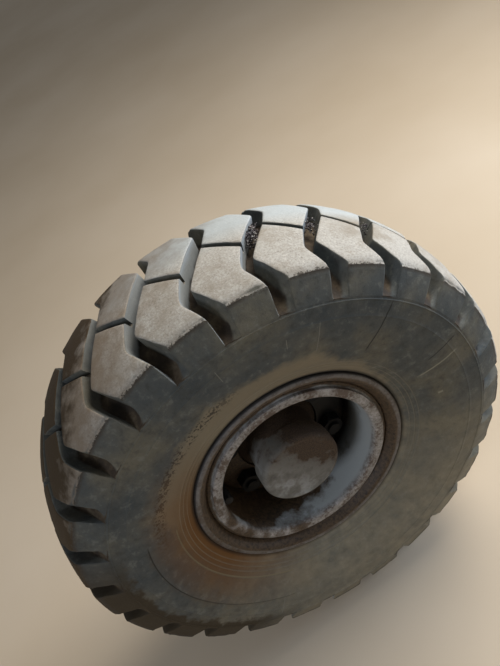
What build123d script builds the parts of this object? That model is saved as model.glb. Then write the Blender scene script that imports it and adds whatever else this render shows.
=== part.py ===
"""Steered rear wheel of an industrial truck, with the hub, knuckle and king pin that carry it.

Millimetres, +Z up, +X the way the truck drives, the wheel's outer face towards -Y.
Every piece is modelled about the wheel's centre, with the axle along Y, and is then moved so
that the origin is on the king pin, at the middle of its upper seat in the axle beam.
"""
from build123d import *
import os
from math import pi, sqrt

# Tyre
tyre_radius = 295.0          # over the lugs, at the middle of the tread
tread_half_width = 81.0      # out to the lugs' corners
shoulder_drop = 13.0         # from there down to the lugs' corners
section_half_width = 91.0    # where the lugs' flanks end on the sidewall
flank_drop = 46.0            # and to where the lugs' flanks end on the sidewall
sidewall_mid_radius = 198.0
sidewall_bulge = 0.5         # how far the sidewall stands out past its upper end
sidewall_foot = 3.0          # how far its foot stands out past the bead
crown_flat_count = 4         # cones that make up the crowned tread
sidewall_flat_count = 3      # and each sidewall
hollow_flat_count = 2        # and each side of the hollow inside
lug_pitches = 26
lug_start = -4.6             # degrees from the top to the first cross groove
lug_depth = 24.0             # at the middle of the tread
lug_floor_half_width = 48.0  # the flat part of the floor between two lugs
groove_draft = 3.0           # degrees that a groove's walls lean
knee_y = 42.5                # a groove's two knees, from the tread's middle
far_knee_y = 49.0
sipe_width = 3.5
sipe_end_offset = 0.257      # the sipe's ends, in lug pitches from the groove's middle
sipe_end_y = 13.6
sipe_overrun = 3.0           # how far the sipe runs into the grooves that it joins
sipe_depth = 12.0
carcass_wall = 17.0
bead_width = 26.0
bead_height = 17.0

# Rim
rim_width = 127.0            # between the two flanges
flange_height = 13.0         # above the bead seats
flange_thickness = 7.5
flange_roll = 6.0            # how far the crown runs inwards before the slope to the lock ring
flange_roll_drop = 1.0
gutter_wall = 8.0            # the rim base's wall under the lock ring
gutter_depth = 5.5
side_ring_wall = 11.0        # from the rim base's band up to the bead seat
base_wall = 8.0              # the rim base's wall behind the disc
barrel_flare_start = 2.0     # from the disc's edge to where the barrel opens out
barrel_flare_length = 14.0
flange_foot = 3.0            # the inner flange's slope down to the barrel
toe_length = 5.0
toe_setback = 5.0            # how far the toe lies behind the flange's front
toe_bend = 4.0               # rounding between the toe's face and the barrel
lock_ring_width = 8.0
lock_ring_lip = 6.0          # how far it stands out past the toe
lock_ring_chamfer = 1.5
lock_ring_proud = 1.0        # how far it stands out of the side ring
lock_ring_gap = 7.0
lock_split_angle = 250.0     # degrees from +X towards +Z
seat_band_width = 26.0
seat_ramp = 6.0              # slope from the bead seat down to the base
fit_gap = 0.25               # between the rim's loose rings

# Wheel disc
disc_thickness = 9.0
disc_face = 4.0              # outer face of the disc's flat middle, from the tyre's middle
disc_cup_depth = 26.0
disc_bend_radius = 12.0
disc_hole_inset = 18.0       # from the stud circle in to the disc's hole
pilot_gap = 0.3              # between the disc's hole and the hub
stud_count = 6
stud_radius = 8.0
stud_hole_radius = 8.6
stud_end = 4.0               # how far a stud stands out of its nut
stud_head_radius = 12.0
stud_head_height = 6.0
stud_head_gap = 7.0          # between the heads and the hub's back
stud_edge = 14.0             # from the stud circle to the hub's flange edge
nut_across_flats = 27.0
nut_height = 15.0
nut_chamfer = 3.0

# Hub
hub_flange_thickness = 13.0
hub_flange_gap = 4.5         # between the hub's flange and the disc's cup
hub_pilot_height = 5.0
hub_nose_slope = 12.0        # length of the cone from the pilot to the nose
hub_land_height = 5.0        # the step inside, between the two bearings
hub_nose_wall = 11.0         # round the outer bearing
hub_nose_end = -40.0         # outer end of the casting
hub_back_wall = 11.0         # round the seal
hub_back_end = 54.0          # inner end of the casting
cap_overhang = 4.5           # how far the cap stands out past the nose
cap_end = -67.0              # the cap's outer face
cap_wall = 5.0
cap_edge_radius = 7.0
cap_spigot = 5.0
cap_spigot_gap = 0.25

# Bearings and seal
outer_bearing_radius = 36.0
outer_bearing_bore = 17.5
outer_bearing_width = 18.0
inner_bearing_radius = 42.5
inner_bearing_bore = 22.5
inner_bearing_width = 21.0
seal_width = 8.0
seal_step = 2.5              # its seat, above the inner bearing's
seal_lip_gap = 0.3
running_gap = 0.05
seat_gap = 0.02
end_gap = 0.3                # between a bearing's end and what is next to it

# Knuckle
king_pin_offset = 122.0      # from the tyre's middle to the king pin
boss_radius = 41.0
boss_height = 132.0
boss_chamfer = 3.0
neck_spread = 12.0           # how much wider the neck is where it meets the boss
spindle_root_radius = 30.0
spindle_flange_radius = 46.0
spindle_flange_face = 66.0   # where the spindle leaves the forging
spindle_thread_radius = 14.5
spindle_chamfer = 2.0
spindle_land = 4.0           # how far the outer bearing's seat runs on behind it
spindle_end = -56.0
arm_drop = 26.0              # the arm's middle, below the axle
arm_thickness = 28.0
arm_reach_x = -104.0         # tie rod eye, from the king pin
arm_reach_y = 34.0
arm_root_radius = 36.0
arm_eye_radius = 24.0
tie_rod_hole_radius = 11.0

# King pin
king_pin_radius = 17.5
king_pin_length = 214.0
king_pin_chamfer = 2.5
king_pin_notch_radius = 6.0
king_pin_notch_depth = 3.0
king_pin_notch_rise = 8.0    # of the notch above the middle of the upper seat
seat_start_gap = 1.0         # from the thrust ring or the boss to a seat in the axle beam
relief_width = 3.0           # groove in the pin where a seat starts
relief_depth = 1.0
bush_wall = 4.0
bush_length = 34.0
bush_inset = 3.0
thrust_ring_radius = 31.0
thrust_ring_height = 8.0
thrust_recess = 4.0          # how far the thrust ring sinks into the boss

# Valve
valve_angle = 170.0          # degrees from +X towards +Z
valve_radius = 4.0
valve_cap_radius = 5.5
valve_cap_length = 14.0
valve_standoff = 6.0         # valve's middle, inside the barrel
valve_foot = -13.0           # where it comes through the rim base, from the tyre's middle
valve_bend = 4.5             # how far the stem's bend takes to turn along the barrel
valve_reach = 44.0           # from there to the cap's end
valve_hole_gap = 0.8
valve_root = 2.0             # how far it stands out of the rim base's outer side

cut_margin = 2.0             # how far a cutting body passes the face that it cuts
cutter_spare = 10.0          # how far a groove's cutter runs past the sidewall and the floor

# The wheel's radii, from the bearings outwards: the bead seats come to 127 mm, a 10 inch rim
hub_nose_radius = outer_bearing_radius + hub_nose_wall
cap_radius = hub_nose_radius + cap_overhang
seal_radius = inner_bearing_radius + seal_step
hub_back_radius = seal_radius + hub_back_wall
stud_circle_radius = hub_back_radius + stud_head_gap + stud_head_radius
disc_hole_radius = stud_circle_radius - disc_hole_inset
hub_flange_radius = stud_circle_radius + stud_edge
barrel_radius = hub_flange_radius + hub_flange_gap + disc_thickness
gutter_radius = barrel_radius + gutter_wall
toe_radius = gutter_radius + gutter_depth
lock_ring_radius = toe_radius + lock_ring_lip
rim_radius = toe_radius + side_ring_wall
flange_radius = rim_radius + flange_height

# Places along the axle and the king pin
shoulder_radius = tyre_radius - shoulder_drop
flank_radius = tyre_radius - flank_drop
rim_half = rim_width / 2
flange_front = rim_half + flange_thickness
toe_front = flange_front - toe_setback
lock_ring_front = toe_front - toe_length - fit_gap
lock_ring_back = lock_ring_front - lock_ring_width
disc_cup_back = disc_face + disc_cup_depth
stud_angles = [90 + 360 / stud_count * k for k in range(stud_count)]
outer_bearing_start = hub_nose_end + cap_spigot + end_gap
outer_bearing_stop = outer_bearing_start + outer_bearing_width + end_gap
inner_bearing_end = hub_back_end - seal_width - end_gap
inner_bearing_stop = inner_bearing_end - inner_bearing_width - end_gap
bush_bore = king_pin_radius + running_gap + bush_wall + seat_gap
bush_to_face = boss_height / 2 - bush_inset - bush_length / 2
bush_middles = [bush_to_face - thrust_recess, -bush_to_face]
upper_seat_low = boss_height / 2 - thrust_recess + thrust_ring_height + seat_start_gap
upper_seat_high = king_pin_length / 2 - king_pin_chamfer
lower_seat_high = -boss_height / 2 - seat_start_gap
mount_height = (upper_seat_low + upper_seat_high) / 2
to_king_pin = Pos(0, -king_pin_offset, -mount_height)
polar_pitch = 360.0 / lug_pitches


def about_axle(profile):
    """Turns a closed outline of (radius, y) round the axle."""
    return revolve(profile, Axis.Y, 360)


def outline(*points):
    return make_face(Polyline(*points, close=True))


def flats(start, middle, end, count):
    """Points along an arc, so that a rounded edge is turned as a few cones."""
    arc = ThreePointArc(start, middle, end)
    return [((arc @ (k / count)).X, (arc @ (k / count)).Y) for k in range(count + 1)]


def turned(angle, shape):
    """Turns a shape round the axle, by degrees from +X towards +Z."""
    return Rot(0, -angle, 0) * shape


def save(node, shape):
    shape = to_king_pin * shape
    shape.label = node
    export_step(shape, f"parts/{node}.step")


def tread_radius(y):
    """Radius of the crowned tread at a distance y from its middle."""
    crown = (tread_half_width ** 2 + shoulder_drop ** 2) / (2 * shoulder_drop)
    return tyre_radius - crown + sqrt(crown ** 2 - y ** 2)


def carcass_side(side):
    """Half of the tyre's section, from the tread's corner round the bead to the hollow's crown."""
    bead_r = rim_radius + fit_gap
    bead_y = rim_half - fit_gap
    bead_toe = bead_y - bead_width
    bead_top = bead_r + bead_height
    foot = (flange_radius + fit_gap, rim_half + sidewall_foot)
    hollow_r = tyre_radius - lug_depth - carcass_wall
    points = [(shoulder_radius, tread_half_width)]
    points += flats((flank_radius, section_half_width),
                    (sidewall_mid_radius, section_half_width + sidewall_bulge), foot, sidewall_flat_count)
    points += [(foot[0], bead_y), (bead_r, bead_y), (bead_r, bead_toe)]
    points += flats((bead_top, bead_toe), (sidewall_mid_radius, section_half_width - carcass_wall),
                    (hollow_r, tread_half_width - 2 * carcass_wall), hollow_flat_count)
    return [(r, side * y) for r, y in points]


def carcass_section():
    """Section of the tyre: crown, lug flanks, sidewalls, beads and the hollow inside."""
    crown = flats((shoulder_radius, -tread_half_width), (tyre_radius, 0),
                  (shoulder_radius, tread_half_width), crown_flat_count)
    return outline(*crown[1:-1], *carcass_side(1), *reversed(carcass_side(-1)))


def groove_floor():
    """The body that the grooves never cut: flat under the tread, sloping out to the sidewalls."""
    floor = tyre_radius - lug_depth
    past = section_half_width + 2 * cutter_spare
    inside = flank_radius - 2 * cutter_spare
    return about_axle(outline(
        (floor, -lug_floor_half_width), (floor, lug_floor_half_width),
        (flank_radius, section_half_width), (flank_radius, past), (inside, past), (inside, -past),
        (flank_radius, -past), (flank_radius, -section_half_width)))


def groove():
    """One cross groove, a zigzag with two knees, the same upside down as the right way up."""
    # distance from the tread's middle, offset along the tread in lug pitches
    left_edge = [(tread_half_width, 0.027), (knee_y, -0.268), (-sipe_end_y, sipe_end_offset),
                 (-far_knee_y, 0.488), (-tread_half_width, 0.302)]
    past = section_half_width + cutter_spare
    step = 2 * pi / lug_pitches
    edge = [(p * step * tread_radius(y), y) for y, p in left_edge]
    edge = [(edge[0][0], past)] + edge + [(edge[-1][0], -past)]
    other = [(-s, -y) for s, y in edge]
    top = Plane(origin=(0, 0, tyre_radius + cut_margin), x_dir=(-1, 0, 0), z_dir=(0, 0, 1))
    profile = top * outline(*[(s, -y) for s, y in edge + other])
    depth = cut_margin + flank_drop + cutter_spare
    return extrude(profile, amount=-depth, taper=groove_draft) - groove_floor()


def sipe():
    """The thin slanting cut that joins one cross groove to the next through a lug's middle."""
    pitch = 2 * pi / lug_pitches * tyre_radius
    along = (1 - 2 * sipe_end_offset) * pitch
    across = 2 * sipe_end_y
    slant = Plane(origin=(0, 0, tyre_radius), x_dir=(-along, across, 0), z_dir=(0, 0, 1))
    length = sqrt(along ** 2 + across ** 2) + 2 * sipe_overrun
    return turned(polar_pitch / 2, slant * Box(length, sipe_width, 2 * sipe_depth))


def flange_nose(side):
    """Front of a rim flange: bead face, rolled edge and rounded crown, from the bead outwards."""
    bead = side * rim_half
    front = side * flange_front
    crown = flange_radius - flange_thickness / 2
    return [(rim_radius, bead),
            *flats((crown, bead), (flange_radius, (bead + front) / 2), (crown, front), 4),
            (crown - flange_roll, front - side * flange_roll_drop)]


def make_rim_base():
    """One turned piece: toe, gutter, band under the side ring, inner bead seat and inner flange."""
    toe_back = toe_front - toe_length
    gutter_back = toe_back - lock_ring_width - 2 * fit_gap
    seat_start = rim_half - seat_band_width
    inside = rim_radius - base_wall
    flare = disc_cup_back + barrel_flare_start
    corner = toe_bend * (1 - sqrt(0.5))
    points = flange_nose(1)
    points += [(rim_radius - flange_foot, rim_half + flange_roll_drop), (inside, rim_half - flange_foot),
               (inside, flare + barrel_flare_length), (barrel_radius, flare)]
    points += flats((barrel_radius, -toe_front + toe_bend), (barrel_radius + corner, -toe_front + corner),
                    (barrel_radius + toe_bend, -toe_front), 2)
    points += [(toe_radius, -toe_front), (toe_radius, -toe_back),
               (gutter_radius, -toe_back), (gutter_radius, -gutter_back), (toe_radius, -gutter_back),
               (toe_radius, seat_start - seat_ramp), (rim_radius, seat_start)]
    base = about_axle(outline(*points))
    hole = Rot(0, 90, 0) * Cylinder(valve_radius + valve_hole_gap, 2 * (flange_radius - barrel_radius))
    return base - turned(valve_angle, Pos(toe_radius, valve_foot, 0) * hole)


def make_side_ring():
    """The loose outer flange, which slides over the toe and stops against the lock ring."""
    inner = toe_radius + fit_gap
    ring_back = lock_ring_back - fit_gap
    over_lock = lock_ring_radius + fit_gap
    seat_start = rim_half - seat_band_width
    return about_axle(outline(
        *flange_nose(-1), (over_lock, lock_ring_proud - lock_ring_front), (over_lock, -ring_back),
        (inner, -ring_back), (inner, -seat_start), (rim_radius, -seat_start)))


def make_lock_ring():
    """The split ring that sits in the gutter and holds the side ring."""
    inner = gutter_radius + fit_gap
    ring = about_axle(outline(
        (inner, -lock_ring_back), (lock_ring_radius, -lock_ring_back),
        (lock_ring_radius, lock_ring_chamfer - lock_ring_front),
        (lock_ring_radius - lock_ring_chamfer, -lock_ring_front), (inner, -lock_ring_front)))
    split = Pos(lock_ring_radius, -lock_ring_front, 0) * Box(rim_radius, rim_radius, lock_ring_gap)
    return ring - turned(lock_split_angle, split)


def make_disc():
    """Pressed wheel disc: a flat middle and a bent edge that is welded inside the barrel."""
    rim = barrel_radius - seat_gap
    bend = disc_bend_radius
    inner_bend = bend - disc_thickness
    back = disc_face + disc_thickness
    corner = 1 - sqrt(0.5)
    disc = about_axle(outline(
        (disc_hole_radius, disc_face),
        *flats((rim - bend, disc_face), (rim - bend * corner, disc_face + bend * corner),
               (rim, disc_face + bend), 2),
        (rim, disc_cup_back), (rim - disc_thickness, disc_cup_back),
        (rim - disc_thickness, back + inner_bend), (rim - bend, back), (disc_hole_radius, back)))
    hole = Rot(90, 0, 0) * Cylinder(stud_hole_radius, rim_width)
    return disc - [turned(a, Pos(stud_circle_radius, 0, 0) * hole) for a in stud_angles]


def make_hub():
    """Cast hub: nose, pilot, studded flange and the two bearing seats inside."""
    flange_face = disc_face + disc_thickness
    pilot = disc_hole_radius - pilot_gap
    pilot_face = flange_face - hub_pilot_height
    flange_back = flange_face + hub_flange_thickness
    outer_bore = outer_bearing_radius + running_gap
    inner_bore = inner_bearing_radius + running_gap
    land = outer_bore - hub_land_height
    seal_start = hub_back_end - seal_width
    hub = about_axle(outline(
        (outer_bore, hub_nose_end), (hub_nose_radius, hub_nose_end),
        (hub_nose_radius, pilot_face - hub_nose_slope), (pilot, pilot_face), (pilot, flange_face),
        (hub_flange_radius, flange_face), (hub_flange_radius, flange_back),
        (hub_back_radius, flange_back), (hub_back_radius, hub_back_end),
        (seal_radius + seat_gap, hub_back_end), (seal_radius + seat_gap, seal_start),
        (inner_bore, seal_start), (inner_bore, inner_bearing_stop),
        (land, inner_bearing_stop), (land, outer_bearing_stop), (outer_bore, outer_bearing_stop)))
    hole = Rot(90, 0, 0) * Cylinder(stud_radius + seat_gap, rim_width)
    return hub - [turned(a, Pos(stud_circle_radius, 0, 0) * hole) for a in stud_angles]


def make_cap():
    """Round cap on the hub's nose, hollow over the spindle's end, with a spigot in the bore."""
    spigot = outer_bearing_radius + running_gap - cap_spigot_gap
    bend = cap_edge_radius * (1 - sqrt(0.5))
    hollow = cap_radius - cap_wall
    return about_axle(outline(
        *flats((cap_radius - cap_edge_radius, cap_end), (cap_radius - bend, cap_end + bend),
               (cap_radius, cap_end + cap_edge_radius), 3),
        (cap_radius, hub_nose_end), (spigot, hub_nose_end), (spigot, hub_nose_end + cap_spigot),
        (spigot - cap_wall, hub_nose_end + cap_spigot), (spigot - cap_wall, hub_nose_end - cap_wall),
        (hollow, hub_nose_end - cap_wall), (hollow, cap_end + cap_wall), (0, cap_end + cap_wall),
        (0, cap_end)))


def make_studs():
    """One stud in each hole of the hub's flange, its head at the back."""
    head_back = disc_face + disc_thickness + hub_flange_thickness
    head_end = head_back + stud_head_height
    shank = about_own_axis(stud_radius, disc_face - nut_height - stud_end, head_end)
    head = about_own_axis(stud_head_radius, head_back, head_end)
    stud = shank + head
    return [turned(a, Pos(stud_circle_radius, 0, 0) * stud) for a in stud_angles]


def make_nuts():
    """Hexagon nuts on the studs, chamfered at their outer corners."""
    across_corners = nut_across_flats / sqrt(3)
    low = disc_face - nut_height
    flat = Rot(90, 0, 0) * RegularPolygon(across_corners, 6)
    nut = extrude(Pos(0, disc_face, 0) * flat, amount=nut_height)
    cone = about_axle(outline((0, low), (nut_across_flats / 2, low), (across_corners, low + nut_chamfer),
                              (across_corners, disc_face), (0, disc_face)))
    nut = (nut & cone) - about_own_axis(stud_radius + running_gap, low - cut_margin, disc_face + cut_margin)
    return [turned(a, Pos(stud_circle_radius, 0, 0) * nut) for a in stud_angles]


def about_own_axis(radius, y_low, y_high):
    """A round bar along Y between two places."""
    return Pos(0, (y_low + y_high) / 2, 0) * Rot(90, 0, 0) * Cylinder(radius, y_high - y_low)


def ring(inner, outer, y_low, y_high):
    return about_axle(outline((inner, y_low), (outer, y_low), (outer, y_high), (inner, y_high)))


def make_valve():
    """Bent valve stem of the inner tube, through the rim base and along the barrel to its cap."""
    stem_r = barrel_radius - valve_standoff
    root = toe_radius + valve_root
    cap_low = valve_foot - valve_reach
    cap_high = cap_low + valve_cap_length
    path = Polyline((root, valve_foot), (stem_r + valve_bend, valve_foot),
                    (stem_r, valve_foot - valve_bend), (stem_r, cap_high))
    foot = Plane(origin=(root, valve_foot, 0), z_dir=(-1, 0, 0)) * Circle(valve_radius)
    stem = sweep(foot, path=path, transition=Transition.RIGHT)
    cap = Pos(stem_r, 0, 0) * about_own_axis(valve_cap_radius, cap_low, cap_high)
    return turned(valve_angle, stem + cap)


def make_knuckle():
    """Forging: upright boss round the king pin, spindle for the hub, and the steering arm."""
    boss = Pos(0, king_pin_offset, 0) * Cylinder(boss_radius, boss_height)
    boss = chamfer(boss.edges().filter_by(GeomType.CIRCLE), boss_chamfer)
    neck_end = king_pin_offset - boss_radius / 2
    neck = about_axle(outline((0, spindle_flange_face), (spindle_flange_radius, spindle_flange_face),
                              (spindle_flange_radius + neck_spread, neck_end), (0, neck_end)))
    thread_tip = spindle_thread_radius - spindle_chamfer
    into_neck = spindle_flange_face + cut_margin
    spindle = about_axle(outline(
        (0, spindle_end), (thread_tip, spindle_end),
        (spindle_thread_radius, spindle_end + spindle_chamfer),
        (spindle_thread_radius, outer_bearing_start),
        (outer_bearing_bore, outer_bearing_start), (outer_bearing_bore, outer_bearing_stop + spindle_land),
        (inner_bearing_bore, inner_bearing_stop - spindle_chamfer), (inner_bearing_bore, inner_bearing_end),
        (spindle_root_radius, inner_bearing_end), (spindle_root_radius, into_neck), (0, into_neck)))
    eye = Pos(arm_reach_x, king_pin_offset + arm_reach_y, -arm_drop)
    root = Pos(0, king_pin_offset, -arm_drop)
    bar = make_hull([(root * Circle(arm_root_radius)).edge(), (eye * Circle(arm_eye_radius)).edge()])
    arm = extrude(Pos(0, 0, -arm_thickness / 2) * bar, amount=arm_thickness, dir=(0, 0, 1))
    knuckle = boss + neck + spindle + arm
    pin_axis = Pos(0, king_pin_offset, 0)
    cuts = [pin_axis * Cylinder(king_pin_radius + bush_wall / 2, boss_height + 2 * cut_margin)]
    cuts += [pin_axis * Pos(0, 0, middle) * Cylinder(bush_bore, bush_length + 2 * bush_inset)
             for middle in bush_middles]
    cuts.append(pin_axis * Pos(0, 0, boss_height / 2)
                * Cylinder(thrust_ring_radius + seat_gap, 2 * thrust_recess))
    cuts.append(eye * Cylinder(tie_rod_hole_radius, 2 * arm_thickness))
    return knuckle - cuts


def make_bushes():
    """Upper and lower bush between the king pin and the boss."""
    bush = Cylinder(bush_bore - seat_gap, bush_length)
    bush -= Cylinder(king_pin_radius + running_gap, 2 * bush_length)
    return [Pos(0, king_pin_offset, middle) * bush for middle in bush_middles]


def make_thrust_ring():
    body = Cylinder(thrust_ring_radius, thrust_ring_height)
    body -= Cylinder(king_pin_radius + running_gap, 2 * thrust_ring_height)
    low = boss_height / 2 - thrust_recess
    return Pos(0, king_pin_offset, low + thrust_ring_height / 2) * body


def make_king_pin():
    """Pin with a seat at each end, and a notch in the upper one for the bolt that locks it."""
    pin = Cylinder(king_pin_radius, king_pin_length)
    pin = chamfer(pin.edges().filter_by(GeomType.CIRCLE), king_pin_chamfer)
    relief = Cylinder(king_pin_radius + cut_margin, relief_width)
    relief -= Cylinder(king_pin_radius - relief_depth, relief_width)
    pin -= Pos(0, 0, upper_seat_low - relief_width / 2) * relief
    pin -= Pos(0, 0, lower_seat_high + relief_width / 2) * relief
    reach = king_pin_radius + king_pin_notch_radius - king_pin_notch_depth
    notch = Rot(0, 90, 0) * Cylinder(king_pin_notch_radius, 4 * king_pin_radius)
    pin -= Pos(0, -reach, mount_height + king_pin_notch_rise) * notch
    return Pos(0, king_pin_offset, 0) * pin


def make_tyre():
    tyre = about_axle(carcass_section())
    one_groove = groove()
    one_sipe = sipe()
    cuts = []
    for k in range(lug_pitches):
        angle = lug_start + k * polar_pitch
        cuts += turned(angle, one_groove).solids()
        cuts += turned(angle, one_sipe).solids()
    return tyre.cut(*cuts)


os.makedirs("parts", exist_ok=True)

# node name, its solids
pieces = [
    ("tyre", make_tyre()),
    ("rim_base", make_rim_base()),
    ("side_ring", make_side_ring()),
    ("lock_ring", make_lock_ring()),
    ("wheel_disc", make_disc()),
    ("hub", make_hub()),
    ("hub_cap", make_cap()),
    ("wheel_studs", Compound(children=make_studs())),
    ("wheel_nuts", Compound(children=make_nuts())),
    ("valve", make_valve()),
    ("hub_seal", ring(spindle_root_radius + seal_lip_gap, seal_radius, hub_back_end - seal_width,
                      hub_back_end)),
    ("outer_bearing", ring(outer_bearing_bore + seat_gap, outer_bearing_radius, outer_bearing_start,
                           outer_bearing_start + outer_bearing_width)),
    ("inner_bearing", ring(inner_bearing_bore + seat_gap, inner_bearing_radius,
                           inner_bearing_end - inner_bearing_width, inner_bearing_end)),
    ("knuckle", make_knuckle()),
    ("king_pin_bushes", Compound(children=make_bushes())),
    ("thrust_ring", make_thrust_ring()),
    ("king_pin", make_king_pin()),
]
for node, shape in pieces:
    save(node, shape)
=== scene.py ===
"""Steered wheel end of a forklift: worn lugged tyre on a split-ring rim, hub, knuckle and king pin."""
from math import acos, atan2, cos, degrees, exp, hypot, pi, radians, sin, sqrt

import bmesh
import bpy
import numpy as np
from mathutils import Matrix, Vector, noise


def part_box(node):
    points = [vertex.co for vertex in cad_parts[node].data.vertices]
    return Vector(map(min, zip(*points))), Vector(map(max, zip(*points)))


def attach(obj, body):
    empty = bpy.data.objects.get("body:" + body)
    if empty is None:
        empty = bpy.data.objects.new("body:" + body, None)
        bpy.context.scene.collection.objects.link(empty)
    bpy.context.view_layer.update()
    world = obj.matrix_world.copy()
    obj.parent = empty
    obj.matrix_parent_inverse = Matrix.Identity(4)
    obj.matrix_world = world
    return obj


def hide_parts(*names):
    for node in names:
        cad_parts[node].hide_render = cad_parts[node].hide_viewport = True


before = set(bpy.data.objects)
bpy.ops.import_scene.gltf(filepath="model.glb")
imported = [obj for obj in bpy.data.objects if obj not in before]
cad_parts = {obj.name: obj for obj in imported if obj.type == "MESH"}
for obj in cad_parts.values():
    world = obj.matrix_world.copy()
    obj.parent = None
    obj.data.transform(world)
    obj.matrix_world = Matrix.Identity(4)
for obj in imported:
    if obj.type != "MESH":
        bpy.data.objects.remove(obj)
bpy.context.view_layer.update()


# King pin, bearings and thrust ring. Case-hardened steel, turned and ground to size, under a film
# of old grease that has caught some dust, so they shine only in smears about 17 mm wide. They keep
# the plain turned form that they have in CAD.
mm = 0.001      # metres


def linear(hex_colour):
    """Linear RGBA of an sRGB hex colour."""
    parts = [int(hex_colour[i:i + 2], 16) / 255 for i in (1, 3, 5)]
    return [*(c / 12.92 if c <= 0.04045 else ((c + 0.055) / 1.055) ** 2.4 for c in parts), 1.0]


def add_node(tree, kind, inputs=None, out=0, ramp=None, **settings):
    """Adds a node and returns one output. Inputs are links, numbers or hex colours, by socket."""
    node = tree.nodes.new("ShaderNode" + kind)
    for name, value in settings.items():
        setattr(node, name, value)
    for socket, value in (inputs or {}).items():
        if isinstance(value, bpy.types.NodeSocket):
            tree.links.new(value, node.inputs[socket])
        else:
            node.inputs[socket].default_value = linear(value) if isinstance(value, str) else value
    for i, (stop, hex_colour) in enumerate(ramp or []):
        entry = node.color_ramp.elements[i] if i < 2 else node.color_ramp.elements.new(stop)
        entry.position = stop
        entry.color = linear(hex_colour)
    return node.outputs[out]


def new_material(name, metallic=0.0, roughness=0.5):
    """A new material and its node tree."""
    material = bpy.data.materials.new(name)
    material.use_nodes = True
    shader = material.node_tree.nodes["Principled BSDF"]
    shader.inputs["Metallic"].default_value = metallic
    shader.inputs["Roughness"].default_value = roughness
    return material, material.node_tree


def wire(tree, colour, roughness=None, height=None, depth=0.001, strength=0.5):
    """Links a colour, and if given a roughness and a height in the bump, to the surface shader."""
    shader = tree.nodes["Principled BSDF"]
    tree.links.new(colour, shader.inputs["Base Color"])
    if roughness:
        tree.links.new(roughness, shader.inputs["Roughness"])
    if height:
        bump = add_node(tree, "Bump", {"Height": height, "Strength": strength, "Distance": depth})
        tree.links.new(bump, shader.inputs["Normal"])


def dress(node_name, material):
    """Gives a carried-over CAD node a material, on each of its slots."""
    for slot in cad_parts[node_name].material_slots:
        slot.material = material


greased_steel, tree = new_material("greased_ground_steel", metallic=1.0)
place = add_node(tree, "TexCoord", out="Object")
smear = add_node(tree, "TexNoise", {"Vector": place, "Scale": 1 / (16.7 * mm), "Detail": 5.0})
colour = add_node(tree, "ValToRGB", {"Fac": smear}, ramp=[(0.35, "#3a332b"), (0.6, "#8b8780")])
gloss = add_node(tree, "MapRange", {"Value": smear, "To Min": 0.55, "To Max": 0.25})
wire(tree, colour, gloss)
for name in ("king_pin", "thrust_ring", "outer_bearing", "inner_bearing"):
    dress(name, greased_steel)


# King pin bushes. Cast bronze, turned and pressed into the boss. Only their ends show, dull yellow
# metal with dark stains about 9 mm wide.
bronze, tree = new_material("bush_bronze", metallic=1.0, roughness=0.4)
place = add_node(tree, "TexCoord", out="Object")
stain = add_node(tree, "TexNoise", {"Vector": place, "Scale": 1 / (9.1 * mm), "Detail": 4.0})
wire(tree, add_node(tree, "ValToRGB", {"Fac": stain}, ramp=[(0.35, "#3d2d18"), (0.62, "#a37f45")]))
dress("king_pin_bushes", bronze)


# Knuckle. A steel forging in satin black chassis paint over the scaly forged skin, dusty where it
# faces up and worn to brown primer in patches about 55 mm wide. The scale is finer in truth, and is
# drawn 2.4 mm wide so that it shows.
forging, tree = new_material("painted_forging")
place = add_node(tree, "TexCoord", out="Object")
patches = add_node(tree, "TexNoise", {"Vector": place, "Scale": 1 / (55.6 * mm), "Detail": 6.0,
                                      "Roughness": 0.65})
forged_skin = add_node(tree, "TexNoise", {"Vector": place, "Scale": 1 / (2.38 * mm), "Detail": 3.0})
paint = add_node(tree, "ValToRGB", {"Fac": patches},
                 ramp=[(0.3, "#1c1b1a"), (0.55, "#2b2926"), (0.72, "#4a3a2a")])
upwards = add_node(tree, "SeparateXYZ", {0: add_node(tree, "TexCoord", out="Normal")}, out="Z")
lying = add_node(tree, "MapRange", {"Value": upwards, "From Min": 0.2, "From Max": 1.0, "To Max": 0.9})
dust = add_node(tree, "Math", {0: lying, 1: forged_skin}, operation="MULTIPLY")
wire(tree, add_node(tree, "Mix", {0: dust, 6: paint, 7: "#8d8272"}, out=2, data_type="RGBA"),
     height=forged_skin, depth=0.8 * mm, strength=0.35)
dress("knuckle", forging)


# Hub seal. A moulded nitrile lip seal, pressed into the back of the hub. It is matt black, with
# grease and dust on its face in smears about 11 mm wide.
nitrile, tree = new_material("seal_nitrile", roughness=0.6)
place = add_node(tree, "TexCoord", out="Object")
film = add_node(tree, "TexNoise", {"Vector": place, "Scale": 1 / (11.1 * mm), "Detail": 4.0})
wire(tree, add_node(tree, "ValToRGB", {"Fac": film}, ramp=[(0.4, "#161514"), (0.7, "#3d372f")]))
dress("hub_seal", nitrile)


# Hub. A grey iron casting with a rough skin, turned at its seats, so it looks dull and grainy. Brown
# earth has packed on the upper side of the nose in clods about 24 mm wide, and dry dust lies on the
# rest. Behind the cap the casting turns the same dark brown further back, as painted shade. The skin's
# grain is drawn 1.5 mm wide so that it shows.
hub_low, hub_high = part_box("hub")
wheel_centre = Vector((0.0, -122 * mm, (hub_low.z + hub_high.z) / 2))
same_place = 1e-4       # points of a mesh in mm that are nearer than this are one


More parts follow.
